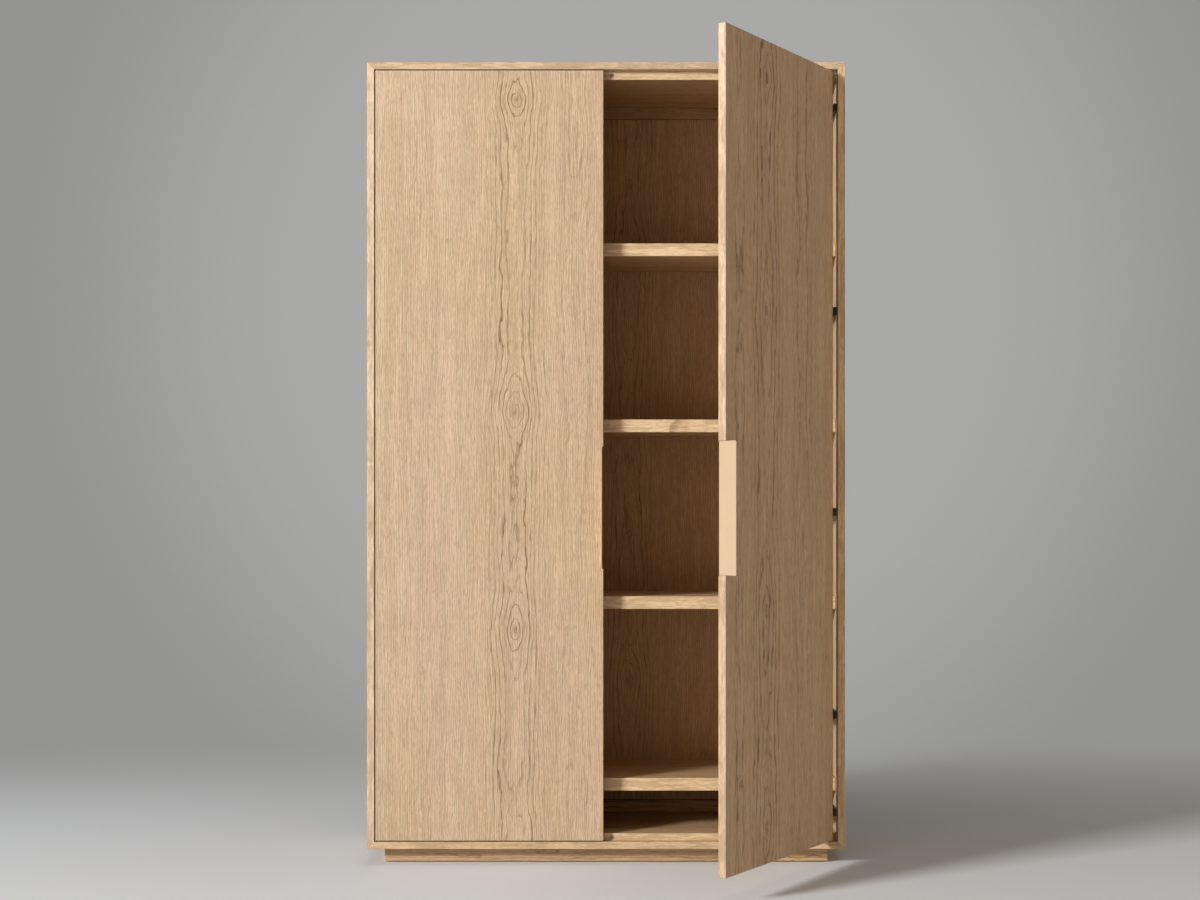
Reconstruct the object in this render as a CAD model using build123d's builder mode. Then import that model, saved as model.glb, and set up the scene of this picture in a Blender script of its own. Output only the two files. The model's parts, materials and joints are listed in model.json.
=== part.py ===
from build123d import *
import math
import os

os.makedirs("parts", exist_ok=True)

# Case: four mitred panels. The origin is on the floor under the middle of the cabinet,
# +X to the right, +Y to the back, +Z up, in millimetres.
cabinet_width = 1200.0
cabinet_depth = 400.0
cabinet_height = 2015.0
panel_thickness = 18.0
edge_break = 0.6  # small chamfer that takes the sharpness off the wood

# Mitre splines, one along each corner of the case
spline_width = 14.0
spline_thickness = 4.0
spline_front_setback = 25.0
spline_back_setback = 10.0
mitre_angle = 45.0  # degrees
glue_gap = 0.1

# Rails that the doors close against, and the back
inner_top_thickness = 22.0
deck_thickness = 18.0
back_panel_thickness = 8.0
rear_recess = 16.0
groove_depth = 9.0
groove_clearance = 0.2
cleat_height = 30.0
cleat_thickness = 18.0
wall_hole_radius = 3.0
wall_hole_spacing = 800.0

# Shelves and the pins that carry them
shelf_thickness = 32.0
shelf_tops = [212.0, 672.0, 1120.0, 1566.0]
shelf_setback = 45.0  # from the front of the case
shelf_side_gap = 1.0
shelf_back_gap = 0.5
shelf_pin_radius = 2.5
shelf_pin_depth = 8.0
shelf_pin_reach = 9.0
shelf_pin_inset = 40.0  # from the shelf's front and back edges
pin_fit = 0.05

# Plinth, set back under the case
plinth_height = 40.0
plinth_setback = 40.0
plinth_board = 18.0
corner_block = 50.0
stretcher_width = 60.0
glide_height = 3.0
glide_radius = 15.0
glide_chamfer = 0.8
nail_radius = 1.5
nail_length = 15.0

# Doors
door_thickness = 19.0
door_gap = 3.0
meeting_gap = 14.0
stop_gap = 1.0  # between a closed door and the rails behind it
right_door_opening = 58.2  # degrees, the pose of the right door

# Pulls: flat plates let into a notch in each meeting edge
pull_thickness = 3.0
pull_recess = 3.0
pull_height = 305.0
pull_centre_height = 897.0
pull_projection = 25.0
pull_edge_break = 0.5
pull_end_gap = 0.3
stud_radius = 3.0
stud_length = 20.0
stud_count = 3
stud_spacing = 110.0
stud_fit = 0.05

# Magnet catches
catch_offset = 14.5  # either side of the middle
magnet_radius = 5.0
magnet_length = 12.0
magnet_proud = 0.6
strike_radius = 4.5
strike_thickness = 1.0
catch_fit = 0.05

# Concealed hinges. Along the door, distances run from its hinge edge, and
# across it they run from its back face, into the cup or behind it into the case.
hinge_lowest = 67.0  # above the bottom of the door
hinge_highest = 88.0  # below the top of the door
hinge_middle_heights = [374.0, 886.0, 1393.0]
cup_centre = 22.5
cup_radius = 17.5
cup_depth = 13.5
cup_wall = 1.0
cup_floor = 0.8
cup_fit = 0.05
flange_radius = 20.0
flange_thickness = 1.2
flange_width = 14.0
flange_length = 62.0
flange_corner_radius = 4.5
cup_screw_spacing = 48.0
cup_screw_offset = 6.0
cup_screw_radius = 1.7
cup_screw_length = 11.0
cup_screw_head_radius = 3.6
cup_screw_head_height = 1.6
screw_fit = 0.05

# Link pivots of the hinge, with the door closed
outer_cup_pivot = (13.3, 3.5)
outer_arm_pivot = (46.3, 23.3)
outer_link_ratio = -0.47  # degrees that the outer link turns for each degree of the door
outer_knee = (3.0, 12.0)  # along and beside the line from the cup pivot to the arm pivot
outer_knee_radius = 6.0
inner_cup_pivot = (18.0, 2.5)
inner_link_end = (19.0, 3.5)
inner_arm_pivot = (58.5, 17.7)
inner_link_ratio = -0.444
inner_knee = (9.0, 2.5)
inner_knee_radius = 8.0
inner_eye_play = 1.7  # the inner link's eye is loose on its cup pin
link_width = 3.6
link_height = 6.7
link_parting = 0.6  # between the outer link above and the inner link below
pivot_pin_radius = 1.5
cup_pin_radius = 1.25
pin_running_fit = 0.05
pin_press_gap = 0.02
eye_wall = 1.5
loose_eye_wall = 0.75
pin_wall_inset = 0.2

# Hinge arm and its mounting plate on the side panel
arm_height = 20.0
arm_slot_clearance = 0.3
arm_body_width = 14.0
arm_body_start = 26.0  # behind the door's back
arm_body_end = 76.0
arm_nose_radius = 5.0
arm_shoe_width = 3.0  # the arm's shoe runs forward along the plate, clear of the links
arm_shoe_start = 4.0
plate_thickness = 5.0
plate_height = 19.0
plate_corner_radius = 0.6
plate_hole_setback = 37.0  # from the door's back to the front screw, with the other in line behind it
plate_hole_spacing = 32.0
plate_screw_radius = 2.0
plate_screw_length = 12.0
plate_screw_head_radius = 3.8
countersink_angle = 90.0

# Levels and faces that follow from these sizes
front_face = -cabinet_depth / 2
rear_edge = cabinet_depth / 2
half_width = cabinet_width / 2
inside_half_width = half_width - panel_thickness
case_bottom = plinth_height
inside_bottom = case_bottom + panel_thickness
inside_top = cabinet_height - panel_thickness
deck_top = inside_bottom + deck_thickness
inner_top_underside = inside_top - inner_top_thickness
rail_front = front_face + door_thickness + stop_gap
back_panel_back = rear_edge - rear_recess
back_panel_front = back_panel_back - back_panel_thickness
cleat_front = back_panel_front - cleat_thickness
top_cleat_middle = inner_top_underside - cleat_height / 2
shelf_front = front_face + shelf_setback
shelf_back = back_panel_front - shelf_back_gap
shelf_pin_places = []
for shelf_top in shelf_tops:
    for pin_y in (shelf_front + shelf_pin_inset, shelf_back - shelf_pin_inset):
        shelf_pin_places.append((pin_y, shelf_top - shelf_thickness - shelf_pin_radius - pin_fit))
wall_hole_places = [(-wall_hole_spacing / 2, top_cleat_middle), (wall_hole_spacing / 2, top_cleat_middle)]

door_bottom = inside_bottom + door_gap
door_top = inside_top - door_gap
door_height = door_top - door_bottom
door_width = inside_half_width - door_gap - meeting_gap / 2
hinge_edge = inside_half_width - door_gap
hinge_heights = [door_bottom + hinge_lowest, *hinge_middle_heights, door_top - hinge_highest]
notch_depth = pull_thickness + pull_recess
notch_floor = door_width - notch_depth
pull_bottom = pull_centre_height - pull_height / 2
lowest_stud = pull_centre_height - stud_spacing * (stud_count - 1) / 2
stud_heights = [lowest_stud + stud_spacing * number for number in range(stud_count)]
strike_along = hinge_edge - catch_offset
catch_heights = [inside_bottom + deck_thickness / 2, inside_top - inner_top_thickness / 2]
screw_along = cup_centre + cup_screw_offset
cup_screw_offsets = (-cup_screw_spacing / 2, cup_screw_spacing / 2)

plinth_half_width = half_width - plinth_setback
plinth_half_depth = cabinet_depth / 2 - plinth_setback
block_offset_x = plinth_half_width - plinth_board - corner_block / 2
block_offset_y = plinth_half_depth - plinth_board - corner_block / 2
glide_places = [(0.0, 0.0)]
for x_side in (-1, 1):
    for y_side in (-1, 1):
        glide_places.append((x_side * block_offset_x, y_side * block_offset_y))

mitre_corners = [(-1, -1), (1, -1), (-1, 1), (1, 1)]
spline_front = front_face + spline_front_setback
spline_length = back_panel_front - spline_back_setback - spline_front

outer_eye_radius = pivot_pin_radius + pin_running_fit + eye_wall
outer_cup_eye_radius = cup_pin_radius + pin_running_fit + eye_wall
inner_eye_hole = cup_pin_radius + inner_eye_play
inner_cup_eye_radius = inner_eye_hole + loose_eye_wall
arm_slot_half = link_parting / 2 + link_height + arm_slot_clearance
plate_face = door_gap - plate_thickness  # from the door's hinge edge, towards the side panel
plate_hole_y = front_face + door_thickness + plate_hole_setback
plate_hole_rows = [plate_hole_y, plate_hole_y + plate_hole_spacing]
plate_hole_places = [(row, height) for height in hinge_heights for row in plate_hole_rows]
countersink_taper = countersink_angle / 2
countersink_width = plate_screw_head_radius - plate_screw_radius
countersink_depth = countersink_width / math.tan(math.radians(countersink_taper))


def export(builder, name):
    builder.part.label = name
    export_step(builder.part, f"parts/{name}.step")


# Points in plan. Hinges and doors are laid out for a closed right-hand door from its front
# hinge corner, x to the right and y into the case, and mirrored for the left-hand door.
def turned(point, degrees, about=(0.0, 0.0)):
    angle = math.radians(degrees)
    x = point[0] - about[0]
    y = point[1] - about[1]
    turned_x = about[0] + x * math.cos(angle) - y * math.sin(angle)
    turned_y = about[1] + x * math.sin(angle) + y * math.cos(angle)
    return (turned_x, turned_y)


def hinge_point(pivot, side_of_back):
    return (-pivot[0], door_thickness + side_of_back * pivot[1])


def placed(side, point):
    return (side * (hinge_edge + point[0]), front_face + point[1])


outer_cup_point = hinge_point(outer_cup_pivot, -1)
outer_arm_point = hinge_point(outer_arm_pivot, 1)
inner_cup_point = hinge_point(inner_cup_pivot, -1)
inner_end_point = hinge_point(inner_link_end, -1)
inner_arm_point = hinge_point(inner_arm_pivot, 1)


# The outer link carries the door: its cup pivot swings about the arm pivot while the door turns.
def door_point(side, opening, along, depth):
    cup_pivot = turned(outer_cup_point, outer_link_ratio * opening, outer_arm_point)
    from_pivot = (-along - outer_cup_point[0], depth - outer_cup_point[1])
    swung = turned(from_pivot, opening)
    return placed(side, (cup_pivot[0] + swung[0], cup_pivot[1] + swung[1]))


def door_outline(side, opening, along_1, along_2, depth_1, depth_2):
    corners = [(along_1, depth_1), (along_2, depth_1), (along_2, depth_2), (along_1, depth_2)]
    return [door_point(side, opening, along, depth) for along, depth in corners]


# A plane on a door, facing out of its back
def back_plane(side, opening, along, depth, height):
    x, y = door_point(side, opening, along, depth)
    across = turned((0.0, 1.0), opening)
    free = turned((-1.0, 0.0), opening)
    return Plane(
        origin=(x, y, height),
        x_dir=(side * free[0], free[1], 0.0),
        z_dir=(side * across[0], across[1], 0.0),
    )


# A plane square to a door's length, facing its free edge
def edge_plane(side, opening, along, depth, height):
    x, y = door_point(side, opening, along, depth)
    free = turned((-1.0, 0.0), opening)
    return Plane(origin=(x, y, height), x_dir=(0.0, 0.0, 1.0), z_dir=(side * free[0], free[1], 0.0))


# Knee of a bent link, beside the straight line from its cup end to its arm pivot
def knee_point(cup_end, arm_end, knee):
    run = (arm_end[0] - cup_end[0], arm_end[1] - cup_end[1])
    length = math.hypot(*run)
    line = (run[0] / length, run[1] / length)
    x = cup_end[0] + line[0] * knee[0] - line[1] * knee[1]
    y = cup_end[1] + line[1] * knee[0] + line[0] * knee[1]
    return (x, y)


# How far a cup pin reaches up or down from the middle of its hinge, into the cup's round wall
def cup_pin_reach(along):
    far_side = abs(cup_centre - along) + cup_pin_radius
    return math.sqrt(cup_radius**2 - far_side**2) - pin_wall_inset


def add_block(x_1, x_2, y_1, y_2, z_1, z_2, mode=Mode.ADD):
    with BuildSketch(Plane.XY.offset(z_1)) as base:
        with Locations(((x_1 + x_2) / 2, (y_1 + y_2) / 2)):
            Rectangle(x_2 - x_1, y_2 - y_1)
    extrude(base.sketch, amount=z_2 - z_1, mode=mode)


def cut_spline_slots(corners):
    with BuildSketch(Plane.XZ.offset(glue_gap - spline_front)) as slots:
        add_spline_sections(corners, glue_gap)
    extrude(slots.sketch, amount=-spline_length - 2 * glue_gap, mode=Mode.SUBTRACT)


def add_spline_sections(corners, clearance):
    for x_side, z_side in corners:
        mitre_x = x_side * (half_width - panel_thickness / 2)
        mitre_z = case_bottom + panel_thickness / 2
        if z_side > 0:
            mitre_z = cabinet_height - panel_thickness / 2
        with Locations((mitre_x, mitre_z)):
            Rectangle(
                spline_width + 2 * clearance,
                spline_thickness + 2 * clearance,
                rotation=-mitre_angle * x_side * z_side,
            )


# Groove for the back panel, cut into the inside of the case all round
def cut_back_groove():
    add_block(
        -inside_half_width - groove_depth,
        inside_half_width + groove_depth,
        back_panel_front - groove_clearance,
        back_panel_back + groove_clearance,
        inside_bottom - groove_depth,
        inside_top + groove_depth,
        Mode.SUBTRACT,
    )


# Top and bottom panels of the case
for name, z_side, outer_z, inner_z in (
    ("top_panel", 1, cabinet_height, inside_top),
    ("bottom_panel", -1, case_bottom, inside_bottom),
):
    with BuildPart() as level_panel:
        with BuildSketch(Plane.XZ.offset(-rear_edge)):
            with BuildLine():
                Polyline(
                    (-half_width, outer_z),
                    (half_width, outer_z),
                    (inside_half_width, inner_z),
                    (-inside_half_width, inner_z),
                    close=True,
                )
            make_face()
        extrude(amount=cabinet_depth)
        front_edges = level_panel.faces().sort_by(Axis.Y)[0].edges().filter_by(Axis.X)
        chamfer(front_edges, edge_break)
        cut_back_groove()
        cut_spline_slots([corner for corner in mitre_corners if corner[1] == z_side])
    export(level_panel, name)

# Side panels of the case, drilled for the shelf pins and the hinge plates
for name, side in (("left_side_panel", -1), ("right_side_panel", 1)):
    with BuildPart() as side_panel:
        with BuildSketch(Plane.XZ.offset(-rear_edge)):
            with BuildLine():
                Polyline(
                    (side * half_width, case_bottom),
                    (side * half_width, cabinet_height),
                    (side * inside_half_width, inside_top),
                    (side * inside_half_width, inside_bottom),
                    close=True,
                )
            make_face()
        extrude(amount=cabinet_depth)
        front_edges = side_panel.faces().sort_by(Axis.Y)[0].edges().filter_by(Axis.Z)
        chamfer(front_edges, edge_break)
        cut_back_groove()
        cut_spline_slots([corner for corner in mitre_corners if corner[0] == side])
        inside_face = Plane(origin=(side * inside_half_width, 0, 0), x_dir=(0, 1, 0), z_dir=(-side, 0, 0))
        up = -side  # the face's own y axis points down on the right-hand panel
        with BuildSketch(inside_face):
            with Locations(*[(pin_y, up * pin_height) for pin_y, pin_height in shelf_pin_places]):
                Circle(shelf_pin_radius + pin_fit)
        extrude(amount=-shelf_pin_depth - pin_fit, mode=Mode.SUBTRACT)
        with BuildSketch(inside_face):
            with Locations(*[(row, up * height) for row, height in plate_hole_places]):
                Circle(plate_screw_radius + screw_fit)
        extrude(amount=-plate_screw_length - screw_fit, mode=Mode.SUBTRACT)
    export(side_panel, name)

with BuildPart() as mitre_splines:
    with BuildSketch(Plane.XZ.offset(-spline_front)):
        add_spline_sections(mitre_corners, 0.0)
    extrude(amount=-spline_length)
export(mitre_splines, "mitre_splines")

# Inner top panel and deck panel, bored for the catch magnets
for name, low, high, catch_height in (
    ("deck_panel", inside_bottom, deck_top, catch_heights[0]),
    ("inner_top_panel", inner_top_underside, inside_top, catch_heights[1]),
):
    with BuildPart() as rail_panel:
        add_block(-inside_half_width, inside_half_width, rail_front, back_panel_front, low, high)
        front_edges = rail_panel.faces().sort_by(Axis.Y)[0].edges().filter_by(Axis.X)
        chamfer(front_edges, edge_break)
        with BuildSketch(Plane.XZ.offset(-rail_front)):
            with Locations((-catch_offset, catch_height), (catch_offset, catch_height)):
                Circle(magnet_radius + catch_fit)
        extrude(amount=-(magnet_length - magnet_proud + catch_fit), mode=Mode.SUBTRACT)
    export(rail_panel, name)

with BuildPart() as catch_magnets:
    with BuildSketch(Plane.XZ.offset(magnet_proud - rail_front)):
        for catch_height in catch_heights:
            with Locations((-catch_offset, catch_height), (catch_offset, catch_height)):
                Circle(magnet_radius)
    extrude(amount=-magnet_length)
export(catch_magnets, "catch_magnets")

# Back panel in its groove, and the cleats in front of it
with BuildPart() as back_panel:
    tongue = groove_depth - groove_clearance
    add_block(
        -inside_half_width - tongue,
        inside_half_width + tongue,
        back_panel_front,
        back_panel_back,
        inside_bottom - tongue,
        inside_top + tongue,
    )
    with BuildSketch(Plane.XZ.offset(-back_panel_front)):
        with Locations(*wall_hole_places):
            Circle(wall_hole_radius)
    extrude(amount=-back_panel_thickness, mode=Mode.SUBTRACT)
export(back_panel, "back_panel")

with BuildPart() as back_top_cleat:
    add_block(
        -inside_half_width,
        inside_half_width,
        cleat_front,
        back_panel_front,
        inner_top_underside - cleat_height,
        inner_top_underside,
    )
    with BuildSketch(Plane.XZ.offset(-cleat_front)):
        with Locations(*wall_hole_places):
            Circle(wall_hole_radius)
    extrude(amount=-cleat_thickness, mode=Mode.SUBTRACT)
export(back_top_cleat, "back_top_cleat")

with BuildPart() as back_bottom_cleat:
    add_block(
        -inside_half_width,
        inside_half_width,
        cleat_front,
        back_panel_front,
        deck_top,
        deck_top + cleat_height,
    )
export(back_bottom_cleat, "back_bottom_cleat")

# Shelves, numbered from the lowest
for number, shelf_top in enumerate(shelf_tops, start=1):
    with BuildPart() as shelf:
        add_block(
            -inside_half_width + shelf_side_gap,
            inside_half_width - shelf_side_gap,
            shelf_front,
            shelf_back,
            shelf_top - shelf_thickness,
            shelf_top,
        )
        front_edges = shelf.faces().sort_by(Axis.Y)[0].edges().filter_by(Axis.X)
        chamfer(front_edges, edge_break)
    export(shelf, f"shelf_{number}")

with BuildPart() as shelf_pins:
    for side in (-1, 1):
        pin_start = Plane(
            origin=(side * (inside_half_width + shelf_pin_depth), 0, 0),
            x_dir=(0, 1, 0),
            z_dir=(-side, 0, 0),
        )
        with BuildSketch(pin_start):
            with Locations(*[(pin_y, -side * pin_height) for pin_y, pin_height in shelf_pin_places]):
                Circle(shelf_pin_radius)
        extrude(amount=shelf_pin_depth + shelf_pin_reach)
export(shelf_pins, "shelf_pins")

# Plinth boards: front and back run the full width, the ends fit between them
for name, y_side in (("plinth_front", -1), ("plinth_back", 1)):
    with BuildPart() as long_board:
        outside = y_side * plinth_half_depth
        inside = outside - y_side * plinth_board
        add_block(
            -plinth_half_width,
            plinth_half_width,
            min(outside, inside),
            max(outside, inside),
            glide_height,
            plinth_height,
        )
        chamfer(long_board.edges().group_by(Axis.Z)[0], edge_break)
    export(long_board, name)

for name, x_side in (("plinth_left", -1), ("plinth_right", 1)):
    with BuildPart() as end_board:
        outside = x_side * plinth_half_width
        inside = outside - x_side * plinth_board
        add_block(
            min(outside, inside),
            max(outside, inside),
            plinth_board - plinth_half_depth,
            plinth_half_depth - plinth_board,
            glide_height,
            plinth_height,
        )
    export(end_board, name)


def drill_for_nails(places):
    with BuildSketch(Plane.XY.offset(glide_height)) as nail_holes:
        with Locations(*places):
            Circle(nail_radius + pin_fit)
    extrude(nail_holes.sketch, amount=nail_length + pin_fit, mode=Mode.SUBTRACT)


with BuildPart() as plinth_stretcher:
    add_block(
        -stretcher_width / 2,
        stretcher_width / 2,
        plinth_board - plinth_half_depth,
        plinth_half_depth - plinth_board,
        glide_height,
        plinth_height,
    )
    drill_for_nails(glide_places[:1])
export(plinth_stretcher, "plinth_stretcher")

with BuildPart() as plinth_corner_blocks:
    with BuildSketch(Plane.XY.offset(glide_height)):
        with Locations(*glide_places[1:]):
            Rectangle(corner_block, corner_block)
    extrude(amount=plinth_height - glide_height)
    drill_for_nails(glide_places[1:])
export(plinth_corner_blocks, "plinth_corner_blocks")

# Nail-on glides: a low disc and the nail above it
with BuildPart() as floor_glides:
    with BuildSketch(Plane.XY):
        with Locations(*glide_places):
            Circle(glide_radius)
    extrude(amount=glide_height)
    chamfer(floor_glides.edges().group_by(Axis.Z)[0], glide_chamfer)
    with BuildSketch(Plane.XY.offset(glide_height)):
        with Locations(*glide_places):
            Circle(nail_radius)
    extrude(amount=nail_length)
export(floor_glides, "floor_glides")

# Doors, pulls and hinges: the left door is closed and the right door stands open
for side_name, side, opening in (("left", -1, 0.0), ("right", 1, right_door_opening)):
    with BuildPart() as door_panel:
        with BuildSketch(Plane.XY.offset(door_bottom)):
            with BuildLine():
                Polyline(*door_outline(side, opening, 0.0, door_width, 0.0, door_thickness), close=True)
            make_face()
        extrude(amount=door_height)
        chamfer(door_panel.edges(), edge_break)
        with BuildSketch(Plane.XY.offset(pull_bottom - pull_end_gap)):
            with BuildLine():
                notch_end = door_width + notch_depth
                notch_back = door_thickness + notch_depth
                notch = door_outline(side, opening, notch_floor, notch_end, -notch_depth, notch_back)
                Polyline(*notch, close=True)
            make_face()
        extrude(amount=pull_height + 2 * pull_end_gap, mode=Mode.SUBTRACT)
        for height in stud_heights:
            with BuildSketch(edge_plane(side, opening, notch_floor, door_thickness / 2, height)):
                Circle(stud_radius + stud_fit)
            extrude(amount=-stud_length - stud_fit, mode=Mode.SUBTRACT)
        for height in catch_heights:
            with BuildSketch(back_plane(side, opening, strike_along, door_thickness, height)):
                Circle(strike_radius + catch_fit)
            extrude(amount=-strike_thickness, mode=Mode.SUBTRACT)
        for height in hinge_heights:
            with BuildSketch(back_plane(side, opening, cup_centre, door_thickness, height)):
                Circle(cup_radius + cup_fit)
            extrude(amount=-cup_depth - cup_fit, mode=Mode.SUBTRACT)
            for offset in cup_screw_offsets:
                with BuildSketch(back_plane(side, opening, screw_along, door_thickness, height + offset)):
                    Circle(cup_screw_radius + screw_fit)
                extrude(amount=-cup_screw_length - screw_fit, mode=Mode.SUBTRACT)
    export(door_panel, f"{side_name}_door_panel")

    with BuildPart() as pull:
        with BuildSketch(Plane.XY.offset(pull_bottom)):
            with BuildLine():
                plate_outside = notch_floor + pull_thickness
                pull_front = -pull_projection
                plate = door_outline(side, opening, notch_floor, plate_outside, pull_front, door_thickness)
                Polyline(*plate, close=True)
            make_face()
        extrude(amount=pull_height)
        chamfer(pull.edges(), pull_edge_break)
    export(pull, f"{side_name}_pull")

    with BuildPart() as pull_studs:
        for height in stud_heights:
            with BuildSketch(edge_plane(side, opening, notch_floor, door_thickness / 2, height)):
                Circle(stud_radius)
            extrude(amount=-stud_length)
    export(pull_studs, f"{side_name}_pull_studs")

    with BuildPart() as strike_plates:
        for height in catch_heights:
            with BuildSketch(back_plane(side, opening, strike_along, door_thickness, height)):
                Circle(strike_radius)
            extrude(amount=-strike_thickness)
    export(strike_plates, f"{side_name}_strike_plates")

    # Pins in the cup stand on one wall each: the outer link's pin from above, the inner link's from below
    outer_pin_reach = cup_pin_reach(outer_cup_pivot[0])
    inner_pin_reach = cup_pin_reach(inner_cup_pivot[0])
    outer_pin_place = door_point(side, opening, outer_cup_pivot[0], outer_cup_point[1])
    inner_pin_place = door_point(side, opening, inner_cup_pivot[0], inner_cup_point[1])

    with BuildPart() as hinge_cups:
        for height in hinge_heights:
            door_back = back_plane(side, opening, cup_centre, door_thickness, height)
            with BuildSketch(door_back):
                Circle(cup_radius)
            extrude(amount=-cup_depth)
            with BuildSketch(door_back):
                Circle(flange_radius)
                with Locations((cup_screw_offset, 0.0)):
                    RectangleRounded(flange_width, flange_length, flange_corner_radius)
            extrude(amount=flange_thickness)
            with BuildSketch(door_back.offset(flange_thickness)):
                Circle(cup_radius - cup_wall)
            extrude(amount=cup_floor - cup_depth - flange_thickness, mode=Mode.SUBTRACT)
            for offset in cup_screw_offsets:
                with BuildSketch(back_plane(side, opening, screw_along, door_thickness, height + offset)):
                    Circle(cup_screw_radius + screw_fit)
                extrude(amount=flange_thickness, mode=Mode.SUBTRACT)
            with BuildSketch(Plane.XY.offset(height)):
                with Locations(outer_pin_place):
                    Circle(cup_pin_radius + pin_press_gap)
            extrude(amount=outer_pin_reach + pin_press_gap, mode=Mode.SUBTRACT)
            with BuildSketch(Plane.XY.offset(height)):
                with Locations(inner_pin_place):
                    Circle(cup_pin_radius + pin_press_gap)
            extrude(amount=-inner_pin_reach - pin_press_gap, mode=Mode.SUBTRACT)
    export(hinge_cups, f"{side_name}_hinge_cups")

    with BuildPart() as cup_pins:
        for height in hinge_heights:
            with BuildSketch(Plane.XY.offset(height + link_parting / 2)):
                with Locations(outer_pin_place):
                    Circle(cup_pin_radius)
            extrude(amount=outer_pin_reach - link_parting / 2)
            with BuildSketch(Plane.XY.offset(height - link_parting / 2)):
                with Locations(inner_pin_place):
                    Circle(cup_pin_radius)
            extrude(amount=link_parting / 2 - inner_pin_reach)
    export(cup_pins, f"{side_name}_cup_pins")

    with BuildPart() as cup_screws:
        for height in hinge_heights:
            for offset in cup_screw_offsets:
                seat_depth = door_thickness + flange_thickness
                seat = back_plane(side, opening, screw_along, seat_depth, height + offset)
                with BuildSketch(seat):
                    Circle(cup_screw_head_radius)
                extrude(amount=cup_screw_head_height)
                with BuildSketch(seat):
                    Circle(cup_screw_radius)
                extrude(amount=-cup_screw_length - flange_thickness)
    export(cup_screws, f"{side_name}_cup_screws")

    # Links, each turned to its place for this door's opening
    outer_turn = outer_link_ratio * opening
    outer_knee_point = knee_point(outer_cup_point, outer_arm_point, outer_knee)
    outer_route = [outer_cup_point, outer_knee_point, outer_arm_point]
    outer_places = [placed(side, turned(point, outer_turn, outer_arm_point)) for point in outer_route]

    with BuildPart() as outer_links:
        for height in hinge_heights:
            with BuildSketch(Plane.XY.offset(height + link_parting / 2)):
                with BuildLine():
                    FilletPolyline(*outer_places, radius=outer_knee_radius)
                trace(line_width=link_width)
                with Locations(outer_places[0]):
                    Circle(outer_cup_eye_radius)
                with Locations(outer_places[2]):
                    Circle(outer_eye_radius)
                with Locations(outer_places[0]):
                    Circle(cup_pin_radius + pin_running_fit, mode=Mode.SUBTRACT)
                with Locations(outer_places[2]):
                    Circle(pivot_pin_radius + pin_running_fit, mode=Mode.SUBTRACT)
            extrude(amount=link_height)
    export(outer_links, f"{side_name}_outer_links")

    inner_turn = inner_link_ratio * opening
    inner_knee_point = knee_point(inner_end_point, inner_arm_point, inner_knee)
    inner_route = [inner_end_point, inner_knee_point, inner_arm_point]
    inner_places = [placed(side, turned(point, inner_turn, inner_arm_point)) for point in inner_route]

    with BuildPart() as inner_links:
        for height in hinge_heights:
            with BuildSketch(Plane.XY.offset(height - link_parting / 2)):
                with BuildLine():
                    FilletPolyline(*inner_places, radius=inner_knee_radius)
                trace(line_width=link_width)
                with Locations(inner_places[0]):
                    Circle(inner_cup_eye_radius)
                with Locations(inner_places[2]):
                    Circle(outer_eye_radius)
                with Locations(inner_places[0]):
                    Circle(inner_eye_hole, mode=Mode.SUBTRACT)
                with Locations(inner_places[2]):
                    Circle(pivot_pin_radius + pin_running_fit, mode=Mode.SUBTRACT)
            extrude(amount=-link_height)
    export(inner_links, f"{side_name}_inner_links")

    # Arms: a block and a shoe on the plate, with two cheeks that hold the link pins
    outer_arm_place = placed(side, outer_arm_point)
    inner_arm_place = placed(side, inner_arm_point)
    body_depth = door_thickness + (arm_body_start + arm_body_end) / 2
    body_middle = placed(side, (plate_face - arm_body_width / 2, body_depth))
    body_length = arm_body_end - arm_body_start
    shoe_depth = door_thickness + (arm_shoe_start + arm_body_start) / 2
    shoe_middle = placed(side, (plate_face - arm_shoe_width / 2, shoe_depth))
    shoe_length = arm_body_start - arm_shoe_start

    with BuildPart() as hinge_arms:
        for height in hinge_heights:
            with BuildSketch(Plane.XY.offset(height - arm_height / 2)):
                with Locations(body_middle):
                    Rectangle(arm_body_width, body_length)
                with Locations(shoe_middle):
                    Rectangle(arm_shoe_width, shoe_length)
            extrude(amount=arm_height)
            for cheek_low in (height - arm_height / 2, height + arm_slot_half):
                with BuildSketch(Plane.XY.offset(cheek_low)):
                    with Locations(outer_arm_place, inner_arm_place):
                        Circle(arm_nose_radius)
                    with Locations(body_middle):
                        Rectangle(arm_body_width, body_length)
                    make_hull()
                extrude(amount=arm_height / 2 - arm_slot_half)
            with BuildSketch(Plane.XY.offset(height)):
                with Locations(outer_arm_place):
                    Circle(pivot_pin_radius + pin_press_gap)
            extrude(amount=arm_height / 2, mode=Mode.SUBTRACT)
            with BuildSketch(Plane.XY.offset(height)):
                with Locations(inner_arm_place):
                    Circle(pivot_pin_radius + pin_press_gap)
            extrude(amount=-arm_height / 2, mode=Mode.SUBTRACT)
    export(hinge_arms, f"{side_name}_hinge_arms")

    with BuildPart() as arm_pins:
        for height in hinge_heights:
            with BuildSketch(Plane.XY.offset(height + link_parting / 2)):
                with Locations(outer_arm_place):
                    Circle(pivot_pin_radius)
            extrude(amount=(arm_height - link_parting) / 2)
            with BuildSketch(Plane.XY.offset(height - link_parting / 2)):
                with Locations(inner_arm_place):
                    Circle(pivot_pin_radius)
            extrude(amount=(link_parting - arm_height) / 2)
    export(arm_pins, f"{side_name}_arm_pins")

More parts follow.
